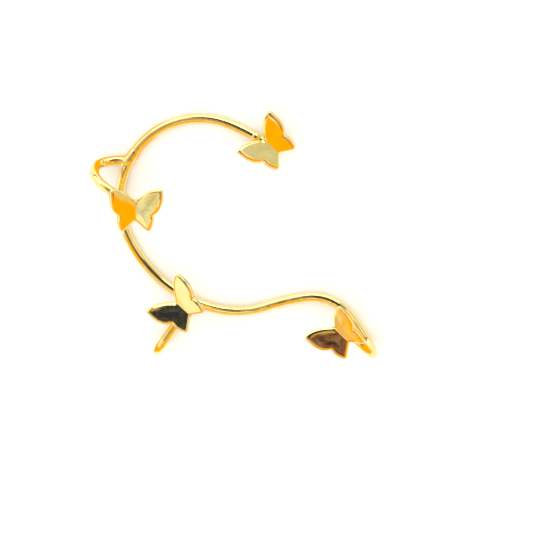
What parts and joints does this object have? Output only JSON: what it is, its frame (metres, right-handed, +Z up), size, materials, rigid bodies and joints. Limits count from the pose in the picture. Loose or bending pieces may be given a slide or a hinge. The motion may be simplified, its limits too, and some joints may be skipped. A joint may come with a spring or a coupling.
{
  "type": "ear cuff",
  "caption": "Polished gold ear cuff with no piercing: a curved wire behind the ear, two clips and a lobe hook round to its front, and a cast butterfly on each wire end",
  "frame": {"origin": "centre of the bounding box's underside, on the surface that the cuff lies on", "axes": "+Z up from the wire behind the ear to the butterflies in front, +Y towards the top of the ear, +X from the ear's rim towards the face"},
  "size_m": [0.0456, 0.0382, 0.0124],
  "materials": {
    "wire_plating": "polished, gold plated wire",
    "cast_plating": "polished, gold plated casting"
  },
  "bodies": {
    "root": {"cuff_wire": "wire_plating", "butterfly_1": "cast_plating", "butterfly_2": "cast_plating", "butterfly_3": "cast_plating", "butterfly_4": "cast_plating"}
  },
  "joints": []
}
